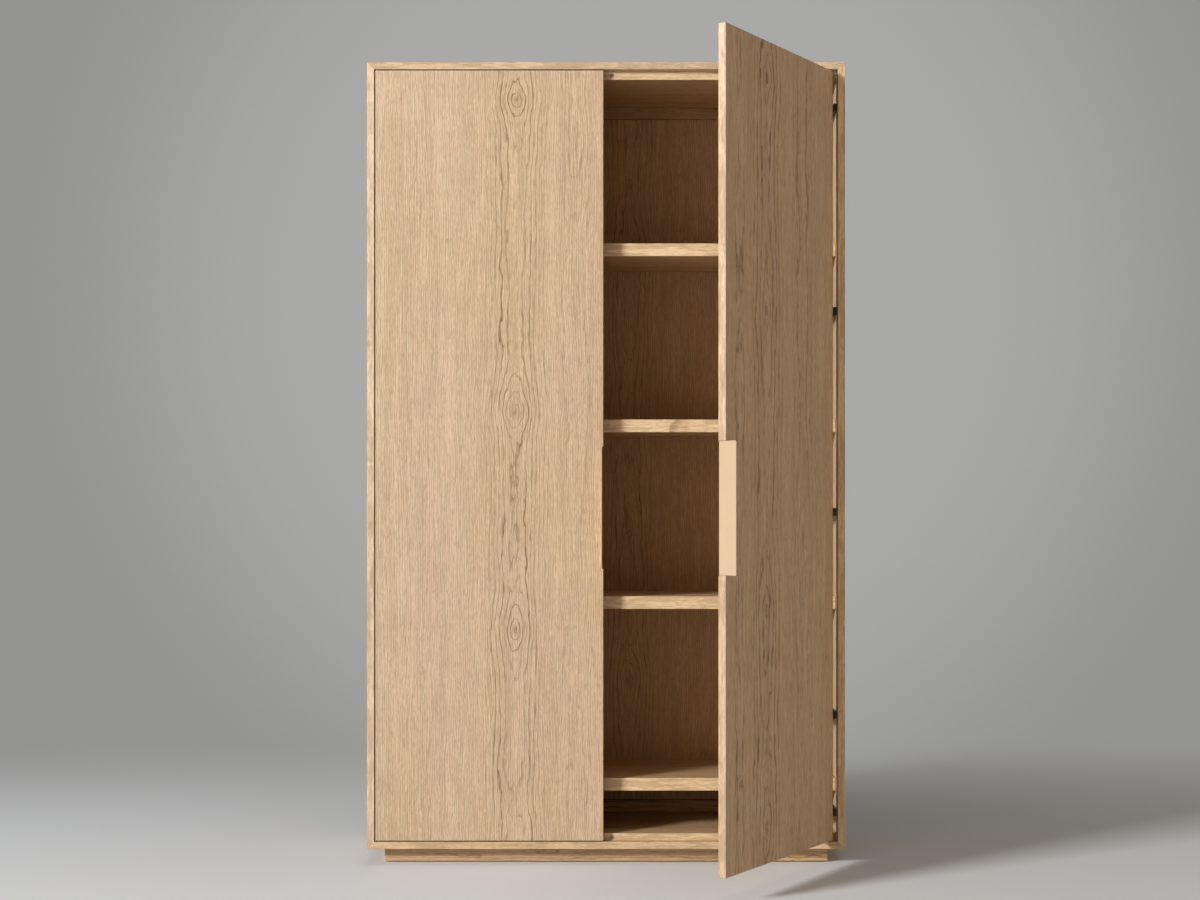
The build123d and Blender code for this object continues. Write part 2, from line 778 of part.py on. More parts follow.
    # Mounting plates on the side panel, under the arms, each with two countersunk screws in line
    plate_plane = Plane(
        origin=(side * inside_half_width, 0.0, 0.0),
        x_dir=(0.0, 1.0, 0.0),
        z_dir=(-side, 0.0, 0.0),
    )
    up = -side  # the plane's own y axis points down on the right-hand panel
    plate_length = arm_body_end - arm_shoe_start
    plate_middle = front_face + door_thickness + (arm_shoe_start + arm_body_end) / 2
    screw_places = [(row, up * height) for row, height in plate_hole_places]
    screw_seat = plate_plane.offset(plate_thickness)

    with BuildPart() as hinge_plates:
        with BuildSketch(plate_plane):
            with Locations(*[(plate_middle, up * height) for height in hinge_heights]):
                RectangleRounded(plate_length, plate_height, plate_corner_radius)
        extrude(amount=plate_thickness)
        with Locations(screw_seat):
            with Locations(*screw_places):
                CounterSinkHole(
                    radius=plate_screw_radius + screw_fit,
                    counter_sink_radius=plate_screw_head_radius + screw_fit,
                    depth=plate_thickness,
                    counter_sink_angle=countersink_angle,
                )
    export(hinge_plates, f"{side_name}_hinge_plates")

    with BuildPart() as plate_screws:
        with BuildSketch(screw_seat):
            with Locations(*screw_places):
                Circle(plate_screw_head_radius)
        extrude(amount=-countersink_depth, taper=countersink_taper)
        with BuildSketch(screw_seat):
            with Locations(*screw_places):
                Circle(plate_screw_radius)
        extrude(amount=-plate_thickness - plate_screw_length)
    export(plate_screws, f"{side_name}_plate_screws")
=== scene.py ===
import json
import math

import bmesh
import bpy
from mathutils import Matrix, Vector


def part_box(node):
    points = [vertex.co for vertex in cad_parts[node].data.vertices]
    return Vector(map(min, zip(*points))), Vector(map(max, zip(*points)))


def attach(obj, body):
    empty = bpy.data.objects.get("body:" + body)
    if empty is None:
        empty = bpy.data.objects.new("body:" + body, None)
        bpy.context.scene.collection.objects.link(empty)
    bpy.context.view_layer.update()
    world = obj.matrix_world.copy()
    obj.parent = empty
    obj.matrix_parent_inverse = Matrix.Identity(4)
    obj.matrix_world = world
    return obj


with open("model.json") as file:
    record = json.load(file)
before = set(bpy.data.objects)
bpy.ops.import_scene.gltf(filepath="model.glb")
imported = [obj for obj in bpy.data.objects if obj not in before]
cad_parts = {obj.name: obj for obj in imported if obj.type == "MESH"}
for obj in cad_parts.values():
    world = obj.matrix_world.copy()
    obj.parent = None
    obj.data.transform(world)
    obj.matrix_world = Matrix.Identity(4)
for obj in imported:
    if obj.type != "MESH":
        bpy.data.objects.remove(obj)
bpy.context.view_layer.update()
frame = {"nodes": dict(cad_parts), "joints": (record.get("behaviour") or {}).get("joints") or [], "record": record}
scene = bpy.context.scene
scene.view_settings.view_transform = "Standard"
print("frame loaded:", len(frame["nodes"]), "nodes")


# A socket that can be written into maths
class Wire:
    def __init__(self, tree, socket=None):
        self.tree = tree
        self.socket = socket

    def node(self, kind, settings=None, sockets=None, out=0):
        made = self.tree.nodes.new(kind)
        for name, value in (settings or {}).items():
            setattr(made, name, value)
        for name, value in (sockets or {}).items():
            if isinstance(value, Wire):
                self.tree.links.new(value.socket, made.inputs[name])
            else:
                made.inputs[name].default_value = value
        return Wire(self.tree, made.outputs[out] if len(made.outputs) else None)

    def sibling(self, out):  # another output of the same node
        return Wire(self.tree, self.socket.node.outputs[out])

    def maths(self, operation, first, second=0.0):
        return self.node("ShaderNodeMath", {"operation": operation}, {0: first, 1: second})

    def vectors(self, operation, sockets, out=0):
        return self.node("ShaderNodeVectorMath", {"operation": operation}, sockets, out)

    def __add__(self, other):
        return self.maths("ADD", self, other)

    def __radd__(self, other):
        return self.maths("ADD", other, self)

    def __sub__(self, other):
        return self.maths("SUBTRACT", self, other)

    def __rsub__(self, other):
        return self.maths("SUBTRACT", other, self)

    def __mul__(self, other):
        return self.maths("MULTIPLY", self, other)

    def __rmul__(self, other):
        return self.maths("MULTIPLY", other, self)

    def __truediv__(self, other):
        return self.maths("DIVIDE", self, other)

    def __rtruediv__(self, other):
        return self.maths("DIVIDE", other, self)

    def step(self, low, high):  # 0 below low, 1 above high, smooth between
        limits = {"From Min": low, "From Max": high, "Value": self}
        return self.node("ShaderNodeMapRange", {"interpolation_type": "SMOOTHSTEP"}, limits)

    def tint(self, factor, first, second, blend="MIX"):
        settings = {"data_type": "RGBA", "blend_type": blend}
        return self.node("ShaderNodeMix", settings, {0: factor, 6: first, 7: second}, 2)

    def noise(self, vector, scale, shift, detail=1.0):
        moved = self.vectors("MULTIPLY_ADD", {0: vector, 1: scale, 2: shift})
        return self.node("ShaderNodeTexNoise", None, {"Vector": moved, "Scale": 1.0, "Detail": detail})


def rgba(tone):
    return (*tone, 1.0)


def strongest(masks):  # the largest of several masks, or None where there are none
    top = masks[0] if masks else None
    for mask in masks[1:]:
        top = mask.maths("MAXIMUM", top, mask)
    return top


def newMaterial(name):
    material = bpy.data.materials.new(name)
    material.use_nodes = True
    material.node_tree.nodes.clear()
    return material, Wire(material.node_tree)


def finishMaterial(wire, sockets):
    shader = wire.node("ShaderNodeBsdfPrincipled", None, sockets)
    wire.node("ShaderNodeOutputMaterial", None, {"Surface": shader})


def bumpOf(wire, height, strength, distance):
    return wire.node("ShaderNodeBump", None, {"Height": height, "Strength": strength, "Distance": distance})


def dress(node, material):
    for slot in frame["nodes"][node].material_slots:
        slot.material = material


# Which way a board lies: across the grain, through the thickness, along the grain
boardLies = {
    "upright": ((1, 0, 0), (0, 1, 0), (0, 0, 1)),
    "sideways": ((0, 1, 0), (-1, 0, 0), (0, 0, 1)),
    "level": ((0, 1, 0), (0, 0, 1), (1, 0, 0)),
    "rail": ((0, 0, 1), (0, -1, 0), (1, 0, 0)),
    "endRail": ((0, 0, 1), (1, 0, 0), (0, 1, 0)),
    "cross": ((1, 0, 0), (0, 0, -1), (0, 1, 0)),
}


def boardTurn(lie, turn=0.0):
    axes = Matrix(boardLies[lie]).transposed()
    return (Matrix.Rotation(turn, 3, "Z") @ axes).to_euler()


def middleOf(node):
    low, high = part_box(node)
    return (low + high) / 2


# How far a door stands open at rest, from the room its swing has to close
def doorOpening(side):
    swing = next(j for j in frame["joints"] if j["name"] == side + "_door_swing")
    links = frame["record"]["behaviour"]["couplings"]
    share = next(c["ratio"] for c in links if c["joint"] == side + "_outer_link_swing")
    return math.radians(-swing["range_deg"][0] * (1 - share))


oak = {
    "paints": {
        "pale": (0.715, 0.520, 0.343),
        "warm": (0.455, 0.315, 0.192),
        "pink": (0.640, 0.452, 0.312),
        "honey": (0.600, 0.426, 0.246),
        "line": (0.168, 0.094, 0.040),
        "pore": (0.320, 0.208, 0.118),
    },
    "strands": 205.0,  # fine dark strands to a metre across the grain
    "litLipping": 0.003,  # metres of lighter front edge: partly a paler lipping, partly painted light on the lit edge
    "litLippingJoint": 0.0006,
    "roughness": 0.56,
    "gloss": 0.30,
    "bump": 0.0006,
    "bumpStrength": 0.5,
}

# How often each pattern changes in a metre: across the grain, through it and along it
oakScales = {
    "wander": (0.0, 0.0, 1.6),
    "drift": (0.0, 0.0, 2.6),
    "sway": (5.0, 0.0, 2.2),
    "ripple": (38.0, 8.0, 7.0),
    "fineRipple": (95.0, 8.0, 21.0),
    "breaks": (330.0, 330.0, 30.0),
    "crack": (190.0, 190.0, 9.0),
    "fibre": (300.0, 300.0, 15.0),
    "fleck": (520.0, 520.0, 75.0),
    "broad": (46.0, 46.0, 2.6),
    "weave": (26.0, 26.0, 3.2),
    "fineWeave": (110.0, 110.0, 15.0),
    "patch": (70.0, 70.0, 8.0),
    "pores": (520.0, 520.0, 34.0),
    "hue": (4.0, 4.0, 1.2),
}

# The noise at which a pattern sets in, and at which it is full
oakEdges = {
    "breaks": (0.36, 0.56),
    "crack": (0.55, 0.68),
    "strength": (0.36, 0.62),
    "patch": (0.36, 0.62),
    "pores": (0.56, 0.70),
    "hue": (0.32, 0.68),
}

# How far each pattern moves the wood: metres, then rings, then strands
oakMoves = {
    "wander": 0.03,
    "drift": 0.06,
    "sway": 0.030,
    "ripple": 1.3,
    "fineRipple": 0.8,
    "weave": 4.0,
    "fineWeave": 0.9,
}

# How much each pattern warms pale wood, and the shares of the hue and the pores in its colour
oakTones = {
    "base": 0.25,
    "fibre": 1.6,
    "fleck": 2.2,
    "broad": 1.5,
    "strand": 1.35,
    "strandLeast": 0.35,  # what is left of a strand between the patches
    "strandTop": 0.25,  # a strand's darkest line and its end, in shares of its width
    "strandEnd": 0.80,
    "hue": 0.30,
    "pores": 0.40,
}
oakRelief = {"fleck": 0.5, "pores": 0.7, "lines": 0.5}
oakSheen = {"pores": 0.10, "tone": 0.12}  # added to the roughness

# The eyes and lines of the figure, widths in metres
figureForm = {
    "nearRise": 0.50,  # share of its depth that the cut loses at an eye
    "farRise": 0.42,  # and further along the grain from it
    "farReach": 0.22,
    "bulge": 0.030,  # half width of the fibres that bend round an eye
    "bulgeLength": 0.5,
    "bend": 0.5,
    "core": 0.009,  # half width of an eye's dark middle
    "coreLength": 2.5,
    "coreStrength": 0.5,
    "streak": 0.014,  # half width of the cracked strip along a heart
    "lineRise": 0.06,  # a line's course, in shares of a ring
    "lineFall": 0.15,
    "lineSpread": 0.32,
    "lineFaint": 0.60,
    "elsewhere": 0.12,  # strength of the rings away from a heart
    "fadeFrom": 0.7,  # where the rings fade, in widths of a heart
    "fadeTo": 1.8,
    "weakest": 0.50,  # what is left of a ring where it is faint
    "broken": 0.66,  # and where the fibres break it
    "ringJump": 3.7,  # places in the noise from one ring to the next
    "ringDrift": 1.7,  # and along a metre of a ring
    "heartSeeds": 7.0,  # seeds from one heart to the next, for its course and for its rings
    "ringSeeds": 2.3,
}


# A column of figure, where the cut follows the heart of the log. Its eyes are the heights,
# from the board's middle, at which the rings close into ovals, each with its reach.
def heart(at, eyes=(), rings=0.75, streaks=0.15, width=0.052, depth=0.036, spacing=0.0098):
    return {
        "at": at, "eyes": eyes, "rings": rings, "streaks": streaks,
        "width": width, "depth": depth, "spacing": spacing,
    }


# Distance from a heart across the board, depth of the cut below it, swell and core of its eyes
def heartShape(wire, local, across, along, seed, figure):
    wander = wire.noise(local, oakScales["wander"], (seed, 0.0, seed), 2.0) - 0.5
    drift = wire.noise(local, oakScales["drift"], (seed, 4.0, 5.0), 2.0) - 0.5
    offset = across - figure["at"] + wander * oakMoves["wander"]
    cut = figure["depth"] + drift * oakMoves["drift"]
    bulges = []
    cores = []
    for height, reach in figure["eyes"]:
        near = (along - height) / reach
        far = near * figureForm["farReach"]
        cut = cut - figure["depth"] * figureForm["nearRise"] / (1.0 + near * near)
        cut = cut - figure["depth"] * figureForm["farRise"] / (1.0 + far * far)
        wide = offset / figureForm["bulge"]
        bulges.append(1.0 / (1.0 + wide * wide + near * near * figureForm["bulgeLength"]))
        small = offset / figureForm["core"]
        spot = 1.0 / (1.0 + small * small + near * near * figureForm["coreLength"])
        cores.append(spot * spot)
    return {"offset": offset, "cut": cut, "swell": strongest(bulges), "core": strongest(cores)}


# The dark late wood of the rings, each ring with a strength that comes and goes along it
def ringLines(wire, shape, along, ripple, breaks, seed, figure):
    form = figureForm
    offset = shape["offset"]
    distance = wire.maths("SQRT", offset * offset + shape["cut"] * shape["cut"])
    count = distance / figure["spacing"] + ripple
    phase = wire.maths("FRACT", count)
    ring = wire.maths("FLOOR", count)
    away = wire.maths("ABSOLUTE", offset)
    slope = away / distance  # a ring cut flat, near the heart, keeps a thin line
    fall = phase.step(form["lineRise"], form["lineFall"] + form["lineSpread"] * slope)
    line = phase.step(0.0, form["lineRise"]) * (1.0 - fall)
    line = line * (form["lineFaint"] + (1.0 - form["lineFaint"]) * slope)
    course = {0: ring * form["ringJump"], 1: seed, 2: along * form["ringDrift"]}
    spot = wire.node("ShaderNodeCombineXYZ", None, course)
    strength = wire.noise(spot, (1.0, 1.0, 1.0), (0.4, 0.2, 0.0), 1.0).step(*oakEdges["strength"])
    near = 1.0 - away.step(figure["width"] * form["fadeFrom"], figure["width"] * form["fadeTo"])
    shown = near * figure["rings"] + form["elsewhere"]
    shown = shown * (form["weakest"] + (1.0 - form["weakest"]) * strength)
    return line * shown * breaks


# All dark lines of a board: rings, cracked streaks along the hearts, dark middles of the eyes
def figureLines(wire, flow, along, shapes, figures, seed):
    coarse = wire.noise(flow, oakScales["ripple"], (seed * 1.3, 0.0, seed), 2.0) - 0.5
    fine = wire.noise(flow, oakScales["fineRipple"], (seed, 3.0, seed), 1.0) - 0.5
    ripple = coarse * oakMoves["ripple"] + fine * oakMoves["fineRipple"]
    whole = wire.noise(flow, oakScales["breaks"], (seed, 1.0, 0.0), 1.0).step(*oakEdges["breaks"])
    breaks = figureForm["broken"] + (1.0 - figureForm["broken"]) * whole
    crack = wire.noise(flow, oakScales["crack"], (seed, 0.0, 6.0), 2.0).step(*oakEdges["crack"])
    masks = []
    for number, (shape, figure) in enumerate(zip(shapes, figures)):
        ringSeed = seed + figureForm["ringSeeds"] * number
        masks.append(ringLines(wire, shape, along, ripple, breaks, ringSeed, figure))
        axis = shape["offset"] / figureForm["streak"]
        masks.append(crack * figure["streaks"] / (1.0 + axis * axis))
        if shape["core"] is not None:
            masks.append(shape["core"] * figureForm["coreStrength"] * figure["rings"])
    return strongest(masks)


# Oak veneer: growth rings round its hearts, dark streaks along them, fine fibres and pores.
# The look has a shade for the whole board and may have a face, the tone behind its front edge: a darker face
# behind a lighter edge, partly a paler lipping and partly painted light on the lit edge with painted shade on the
# faces behind it.
def oakMaterial(name, centre, turn, figures, seed, look, edge):
    material, wire = newMaterial(name)
    place = wire.node("ShaderNodeTexCoord", out="Object")
    turned = {"Vector": place, "Location": centre, "Rotation": turn}
    local = wire.node("ShaderNodeMapping", {"vector_type": "TEXTURE"}, turned)
    across = wire.node("ShaderNodeSeparateXYZ", None, {0: local})
    depth = across.sibling(1)
    along = across.sibling(2)

    sway = wire.noise(local, oakScales["sway"], (seed, 0.0, seed * 2.7), 2.0) - 0.5
    waved = across + sway * oakMoves["sway"]
    shapes = []
    bent = waved  # the fibres give way to the eyes
    for number, figure in enumerate(figures):
        heartSeed = seed + figureForm["heartSeeds"] * number
        shape = heartShape(wire, local, waved, along, heartSeed, figure)
        shapes.append(shape)
        if shape["swell"] is not None:
            bent = bent - shape["offset"] * shape["swell"] * figureForm["bend"]
    flow = wire.node("ShaderNodeCombineXYZ", None, {0: bent, 1: depth, 2: along})
    lines = figureLines(wire, flow, along, shapes, figures, seed)

    fibre = wire.noise(flow, oakScales["fibre"], (0.0, seed, 3.0), 2.0)
    fleck = wire.noise(flow, oakScales["fleck"], (2.0, seed, 0.0), 1.0)
    broad = wire.noise(flow, oakScales["broad"], (seed, 5.0, 0.0), 2.0)
    weave = wire.noise(flow, oakScales["weave"], (seed, 8.0, 0.0), 2.0) * oakMoves["weave"]
    fine = wire.noise(flow, oakScales["fineWeave"], (3.0, seed, 0.0), 1.0)
    part = wire.maths("FRACT", bent * oak["strands"] + (weave + fine * oakMoves["fineWeave"]))
    fall = part.step(oakTones["strandTop"], oakTones["strandEnd"])
    strand = part.step(0.0, oakTones["strandTop"]) * (1.0 - fall)
    patch = wire.noise(flow, oakScales["patch"], (seed, 2.0, 6.0), 2.0).step(*oakEdges["patch"])
    patch = oakTones["strandLeast"] + (1.0 - oakTones["strandLeast"]) * patch
    pores = wire.noise(flow, oakScales["pores"], (0.0, 0.0, seed), 1.0).step(*oakEdges["pores"])
    hue = wire.noise(flow, oakScales["hue"], (seed, 0.0, 9.0), 2.0).step(*oakEdges["hue"])

    tone = oakTones["base"] + (fibre - 0.5) * oakTones["fibre"]
    tone = tone + (fleck - 0.5) * oakTones["fleck"] + (broad - 0.5) * oakTones["broad"]
    tone = tone + strand * patch * oakTones["strand"]
    tone = wire.maths("MINIMUM", wire.maths("MAXIMUM", tone, 0.0), 1.0)
    paints = {}
    for key, paint in oak["paints"].items():
        paints[key] = rgba([c * s for c, s in zip(paint, look["shade"])])
    hued = wire.tint(hue, paints["honey"], paints["pink"])
    ground = wire.tint(tone, paints["pale"], paints["warm"])
    ground = wire.tint(oakTones["hue"], ground, hued)
    ground = wire.tint(pores * oakTones["pores"], ground, paints["pore"])
    ground = wire.tint(lines, ground, paints["line"])
    # Painted shade: behind its front edge the board is darkened by the face tone, while the edge stays lighter, as
    # painted light and partly as a paler lipping
    if "face" in look:
        start = edge + oak["litLipping"]
        shadedFaceMask = across.step(start, start + oak["litLippingJoint"])
        ground = wire.tint(shadedFaceMask, ground, rgba(look["face"]), "MULTIPLY")

    height = oakRelief["fleck"] * fleck - oakRelief["pores"] * pores - oakRelief["lines"] * lines
    finishMaterial(wire, {
        "Base Color": ground,
        "Roughness": oak["roughness"] + oakSheen["pores"] * pores + oakSheen["tone"] * (tone - 0.5),
        "Normal": bumpOf(wire, height, oak["bumpStrength"], oak["bump"]),
        "Specular IOR Level": oak["gloss"],
    })
    return material


doors = {
    "left": {
        "shade": (1.02, 1.03, 1.04),
        "seed": 3.1,
        "figures": [
            heart(0.064, [(0.893, 0.017), (0.110, 0.019), (-0.437, 0.022)], rings=0.92, streaks=0.16),
            heart(-0.174, [(0.62, 0.09)], rings=0.26, streaks=0.06, width=0.035),
            heart(0.215, [(0.78, 0.07)], rings=0.34, streaks=0.08, width=0.030),
        ],
    },
    "right": {
        "shade": (1.03, 1.02, 1.01),
        # Painted shade: a slightly warmer face for the open door, which stands out of the key light
        "face": (1.0, 0.985, 0.955),
        "seed": 8.4,
        "figures": [
            heart(-0.084, [(0.88, 0.024), (0.334, 0.021), (-0.37, 0.023), (-0.888, 0.024)],
                  rings=1.0, streaks=0.30, spacing=0.0165),
            heart(-0.222, rings=0.75, streaks=0.50, width=0.018, depth=0.015, spacing=0.020),
            heart(0.112, [(-0.2, 0.06)], rings=0.60, streaks=0.25, width=0.04, spacing=0.019),
        ],
    },
}

for side, look in doors.items():
    panel = side + "_door_panel"
    centre = middleOf(panel)
    turn = boardTurn("upright", doorOpening(side))
    sideways = turn.to_matrix() @ Vector((1, 0, 0))
    edge = min((vert.co - centre).dot(sideways) for vert in frame["nodes"][panel].data.vertices)
    dress(panel, oakMaterial(side + "_door_oak", centre, turn, look["figures"], look["seed"], look, edge))
print("oak doors dressed:", len(doors))

# Tones of the case boards, most of them painted light and shade: lighter front edges are painted light, darker
# faces are painted shade
boardTones = {
    "leftSide": {"shade": (1.18, 1.22, 1.27), "face": (0.84, 0.82, 0.80)},
    # Painted light and shade: a brighter, warmer front edge and a warmer face, standing in for the warm shade the
    # open door casts on this side
    "shadedRightSide": {"shade": (1.32, 1.26, 1.14), "face": (0.74, 0.76, 0.80)},
    "top": {"shade": (1.06, 1.06, 1.04), "face": (0.94, 0.94, 0.94)},
    "bottom": {"shade": (1.07, 1.04, 0.97), "face": (0.92, 0.92, 0.92)},
    # Painted light and shade: bright shelf fronts where the light falls, darker tops and undersides behind them
    "shelf": {"shade": (1.19, 1.18, 1.10), "face": (0.74, 0.70, 0.64)},
    # Painted shade: the inner top's underside much darker and warmer behind its lit front edge
    "shadedInnerTop": {"shade": (1.17, 1.16, 1.08), "face": (0.64, 0.58, 0.48)},
    # Painted shade: back panel and lower cleat darker and warmer, as they sit in the cabinet's shade
    "shadedInside": {"shade": (0.76, 0.67, 0.52)},
    # Painted shade: the top cleat darkest, in the shade under the inner top
    "cleat": {"shade": (0.62, 0.53, 0.38)},
    # Painted shade: the plinth a little darker and warmer, in the shade under the case
    "plinth": {"shade": (0.98, 0.90, 0.77)},
}
boardSeeds = {"first": 11.7, "step": 4.9}

# Each board's lie, its tone and its figure
caseBoards = {
    "left_side_panel": ("sideways", "leftSide", [heart(0.03, [(0.3, 0.04)]), heart(-0.14, rings=0.3)]),
    "right_side_panel": ("sideways", "shadedRightSide", [heart(-0.05, [(-0.4, 0.04)]), heart(0.12, rings=0.3)]),
    "back_panel": ("upright", "shadedInside", [heart(-0.35), heart(0.06, [(-0.6, 0.03)]), heart(0.42)]),
    "top_panel": ("level", "top", [heart(0.06, [(0.1, 0.04)]), heart(-0.19, rings=0.4)]),
    "bottom_panel": ("level", "bottom", [heart(-0.19, rings=0.4)]),
    "inner_top_panel": ("level", "shadedInnerTop", [heart(0.05)]),
    "deck_panel": ("level", "shelf", [heart(-0.02, [(0.2, 0.05)])]),
    "shelf_1": ("level", "shelf", [heart(0.03, [(0.1, 0.05)])]),
    "shelf_2": ("level", "shelf", [heart(-0.06)]),
    "shelf_3": ("level", "shelf", [heart(-0.155, depth=0.02, rings=0.9)]),
    "shelf_4": ("level", "shelf", [heart(0.02)]),
    "back_top_cleat": ("rail", "cleat", [heart(0.0, depth=0.02)]),
    "back_bottom_cleat": ("rail", "shadedInside", [heart(-0.04)]),
    "plinth_front": ("rail", "plinth", [heart(0.01, depth=0.02, rings=0.9)]),
    "plinth_back": ("rail", "plinth", [heart(-0.03)]),
    "plinth_left": ("endRail", "plinth", [heart(0.03)]),
    "plinth_right": ("endRail", "plinth", [heart(-0.03)]),
    "plinth_stretcher": ("cross", "plinth", [heart(0.04)]),
    "plinth_corner_blocks": ("upright", "plinth", [heart(0.3)]),
    "mitre_splines": ("cross", "plinth", [heart(0.3)]),
}

for number, (node, (lie, tone, figures)) in enumerate(caseBoards.items()):
    low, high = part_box(node)
    edge = (low.y - high.y) / 2  # the front edge, measured from the board's middle
    seed = boardSeeds["first"] + boardSeeds["step"] * number
    look = boardTones[tone]
    dress(node, oakMaterial(node + "_oak", middleOf(node), boardTurn(lie), figures, seed, look, edge))
print("oak boards dressed:", len(caseBoards))


metals = {
    "satin_brass": {
        "light": (0.700, 0.535, 0.385), "dark": (0.630, 0.475, 0.335),
        "roughness": 0.80, "brush": (900.0, 900.0, 5.0), "relief": 0.00005,
    },
    # Painted shade: the hinge metal is nearly black and warm brown, as dark as the hinges look in the shade of the
    # hinge gap
    "hinge_steel": {
        "light": (0.105, 0.088, 0.074), "dark": (0.060, 0.049, 0.040),
        "roughness": 0.45, "brush": (90.0, 90.0, 90.0), "relief": 0.00004,
    },
    "fastener_steel": {
        "light": (0.560, 0.545, 0.520), "dark": (0.420, 0.405, 0.385),
        "roughness": 0.38, "brush": (300.0, 300.0, 60.0), "relief": 0.00004,
    },
    "catch_steel": {
        "light": (0.300, 0.275, 0.250), "dark": (0.190, 0.172, 0.155),
        "roughness": 0.45, "brush": (400.0, 400.0, 400.0), "relief": 0.00004,
    },
}


def metalMaterial(name, look):
    material, wire = newMaterial(name)
    place = wire.node("ShaderNodeTexCoord", out="Object")
    grain = wire.noise(place, look["brush"], (3.0, 1.0, 7.0), 3.0)
    cloud = wire.noise(place, (14.0, 14.0, 9.0), (1.0, 5.0, 2.0), 2.0)
    tone = (grain * 0.6 + cloud * 0.6 - 0.1).step(0.25, 0.75)
    finishMaterial(wire, {
        "Base Color": wire.tint(tone, rgba(look["dark"]), rgba(look["light"])),
        "Metallic": 1.0,
        "Roughness": look["roughness"] + 0.10 * (grain - 0.5) + 0.06 * (cloud - 0.5),
        "Normal": bumpOf(wire, grain, 0.15, look["relief"]),
    })
    return material


glidePlastic = {
    "light": (0.055, 0.050, 0.045), "dark": (0.032, 0.029, 0.026),
    "roughness": 0.55, "grain": (900.0, 900.0, 900.0), "relief": 0.0001,
}


def plasticMaterial(name, look):
    material, wire = newMaterial(name)
    place = wire.node("ShaderNodeTexCoord", out="Object")
    grain = wire.noise(place, look["grain"], (0.0, 2.0, 4.0), 2.0)
    finishMaterial(wire, {
        "Base Color": wire.tint(grain.step(0.35, 0.65), rgba(look["dark"]), rgba(look["light"])),
        "Roughness": look["roughness"] + 0.15 * (grain - 0.5),
        "Normal": bumpOf(wire, grain, 0.2, look["relief"]),
    })
    return material


finishes = {name: metalMaterial(name, look) for name, look in metals.items()}
finishes["glide_plastic"] = plasticMaterial("glide_plastic", glidePlastic)
for subpart in frame["record"]["subparts"]:
    if subpart["material_slot"] in finishes:
        dress(subpart["node"], finishes[subpart["material_slot"]])
print("metal and plastic finishes:", len(finishes))

screwHead = {
    "slot": "fastener_steel",
    "dome": 0.0009,  # rise of the rounded cap above the turned head
    "sink": 0.00005,
    "recessWidth": 0.0010,
    "recessReach": 0.62,  # of the head's radius
    "sides": 28,
    "rings": 16,
}
weldDistance = 1e-6
flatWithin = 1e-5  # points this near to the furthest one are on the same face


# The separate solids of a node, each as a list of its points
def solidsOf(node):
    mesh = bmesh.new()
    mesh.from_mesh(frame["nodes"][node].data)
    bmesh.ops.remove_doubles(mesh, verts=mesh.verts, dist=weldDistance)
    taken = set()
    solids = []
    for start in mesh.verts:  # in the mesh's own order, so that every run gives the same heads
        if start in taken:
            continue
        taken.add(start)
        front = [start]
        found = []
        while front:
            vert = front.pop()
            found.append(vert.co.copy())
            for link in vert.link_edges:
                other = link.other_vert(vert)
                if other not in taken:
                    taken.add(other)
                    front.append(other)
        solids.append(found)
    mesh.free()
    return solids


# Middle and radius of the face that a solid turns towards a direction
def farFace(points, direction):
    furthest = max(p.dot(direction) for p in points)
    face = [p for p in points if furthest - p.dot(direction) < flatWithin]
    middle = sum(face, Vector()) / len(face)
    return middle, max((p - middle).length for p in face)


# Geometry Nodes: a domed head with a cross recess on every point, turned to its aim
def screwHeadTree(material):
    tree = bpy.data.node_groups.new("screwHeads", "GeometryNodeTree")
    tree.interface.new_socket("Geometry", in_out="INPUT", socket_type="NodeSocketGeometry")
    for label in ("Radius", "Dome", "Sink", "Recess Width", "Recess Reach"):
        tree.interface.new_socket(label, in_out="INPUT", socket_type="NodeSocketFloat")
    for label in ("Sides", "Rings"):
        tree.interface.new_socket(label, in_out="INPUT", socket_type="NodeSocketInt")
    tree.interface.new_socket("Geometry", in_out="OUTPUT", socket_type="NodeSocketGeometry")
    wire = Wire(tree)
    given = wire.node("NodeGroupInput", out="Geometry")
    radius = given.sibling("Radius")
    dome = given.sibling("Dome")
    sink = given.sibling("Sink")
    width = given.sibling("Recess Width")
    reach = radius * given.sibling("Recess Reach") * 2.0

    ball = {"Segments": given.sibling("Sides"), "Rings": given.sibling("Rings"), "Radius": 1.0}
    sphere = wire.node("GeometryNodeMeshUVSphere", None, ball, "Mesh")
    stretch = wire.node("ShaderNodeCombineXYZ", None, {0: radius, 1: radius, 2: dome + sink})
    cap = wire.node("GeometryNodeTransform", None, {"Geometry": sphere, "Scale": stretch})
    cutters = (
        (radius * 4.0, radius * 4.0, dome * 4.0, dome * -2.0),  # the lower half of the ball
        (reach, width, dome * 1.7, dome * 1.05 + sink),
        (width, reach, dome * 1.7, dome * 1.05 + sink),
    )
    for long, wide, tall, lift in cutters:
        size = wire.node("ShaderNodeCombineXYZ", None, {0: long, 1: wide, 2: tall})
        block = wire.node("GeometryNodeMeshCube", None, {"Size": size}, "Mesh")
        raised = wire.node("ShaderNodeCombineXYZ", None, {2: lift})
        block = wire.node("GeometryNodeTransform", None, {"Geometry": block, "Translation": raised})
        cap = wire.node("GeometryNodeMeshBoolean", {"operation": "DIFFERENCE"}, {0: cap, 1: block})

    aim = wire.node("GeometryNodeInputNamedAttribute", {"data_type": "FLOAT_VECTOR"}, {"Name": "aim"})
    facing = wire.node("FunctionNodeAlignRotationToVector", {"axis": "Z"}, {"Vector": aim})
    spread = {"Points": given, "Instance": cap, "Rotation": facing}
    heads = wire.node("GeometryNodeInstanceOnPoints", None, spread)
    solid = wire.node("GeometryNodeRealizeInstances", None, {"Geometry": heads})
    dressed = wire.node("GeometryNodeSetMaterial", None, {"Geometry": solid, "Material": material})
    wire.node("NodeGroupOutput", None, {"Geometry": dressed})
    return tree


